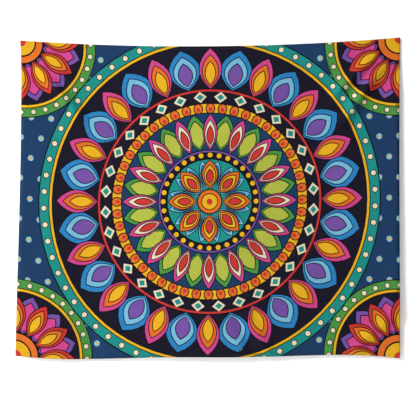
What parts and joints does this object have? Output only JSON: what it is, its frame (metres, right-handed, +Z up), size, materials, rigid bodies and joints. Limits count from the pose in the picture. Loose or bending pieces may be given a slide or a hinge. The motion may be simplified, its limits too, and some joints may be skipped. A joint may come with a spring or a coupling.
{
  "type": "tapestry wall hanging",
  "caption": "Printed cloth sheet with folded and sewn hems, hung flat on a wall from tape loops behind its top corners; its lower edge swings out.",
  "frame": {"origin": "on the wall, midway between the two points that the top loops hang on", "axes": "+X to the right of someone who faces the print, +Y into the wall, +Z up"},
  "size_m": [1.524, 0.0328, 1.2725],
  "materials": {
    "printed_cloth": "dye-printed plain-weave polyester, soft sheen",
    "hem_thread": "polyester sewing thread",
    "cotton_tape": "twill-woven cotton tape",
    "tack_thread": "polyester sewing thread",
    "label_satin": "smooth satin ribbon"
  },
  "bodies": {
    "wall_loops": {"top_left_loop": "cotton_tape", "top_right_loop": "cotton_tape", "top_left_bar_tack": "tack_thread", "top_right_bar_tack": "tack_thread"},
    "sheet": {"cloth_panel": "printed_cloth", "top_hem": "printed_cloth", "bottom_hem": "printed_cloth", "left_hem": "printed_cloth", "right_hem": "printed_cloth", "top_hem_stitching": "hem_thread", "bottom_hem_stitching": "hem_thread", "left_hem_stitching": "hem_thread", "right_hem_stitching": "hem_thread"},
    "bottom_left_tape": {"bottom_left_loop": "cotton_tape", "bottom_left_bar_tack": "tack_thread"},
    "bottom_right_tape": {"bottom_right_loop": "cotton_tape", "bottom_right_bar_tack": "tack_thread"},
    "label": {"care_label": "label_satin"}
  },
  "joints": [
    {"name": "cloth_swing", "type": "hinge", "parent": "wall_loops", "child": "sheet", "pos_m": [0, 0, 0.022], "axis": [-1, 0, 0], "range_deg": [0, 75]},
    {"name": "bottom_left_loop_flip", "type": "hinge", "parent": "sheet", "child": "bottom_left_tape", "pos_m": [-0.75611, -0.0166, -1.1971], "axis": [1, 0, 0], "range_deg": [0, 90]},
    {"name": "bottom_right_loop_flip", "type": "hinge", "parent": "sheet", "child": "bottom_right_tape", "pos_m": [0.7364, -0.0106, -1.20395], "axis": [1, 0, 0], "range_deg": [0, 90]},
    {"name": "care_label_turn", "type": "hinge", "parent": "sheet", "child": "label", "pos_m": [-0.7526, -0.02353, -1.06502], "axis": [0.0295, -0.0431, 0.9986], "range_deg": [0, 120]}
  ]
}
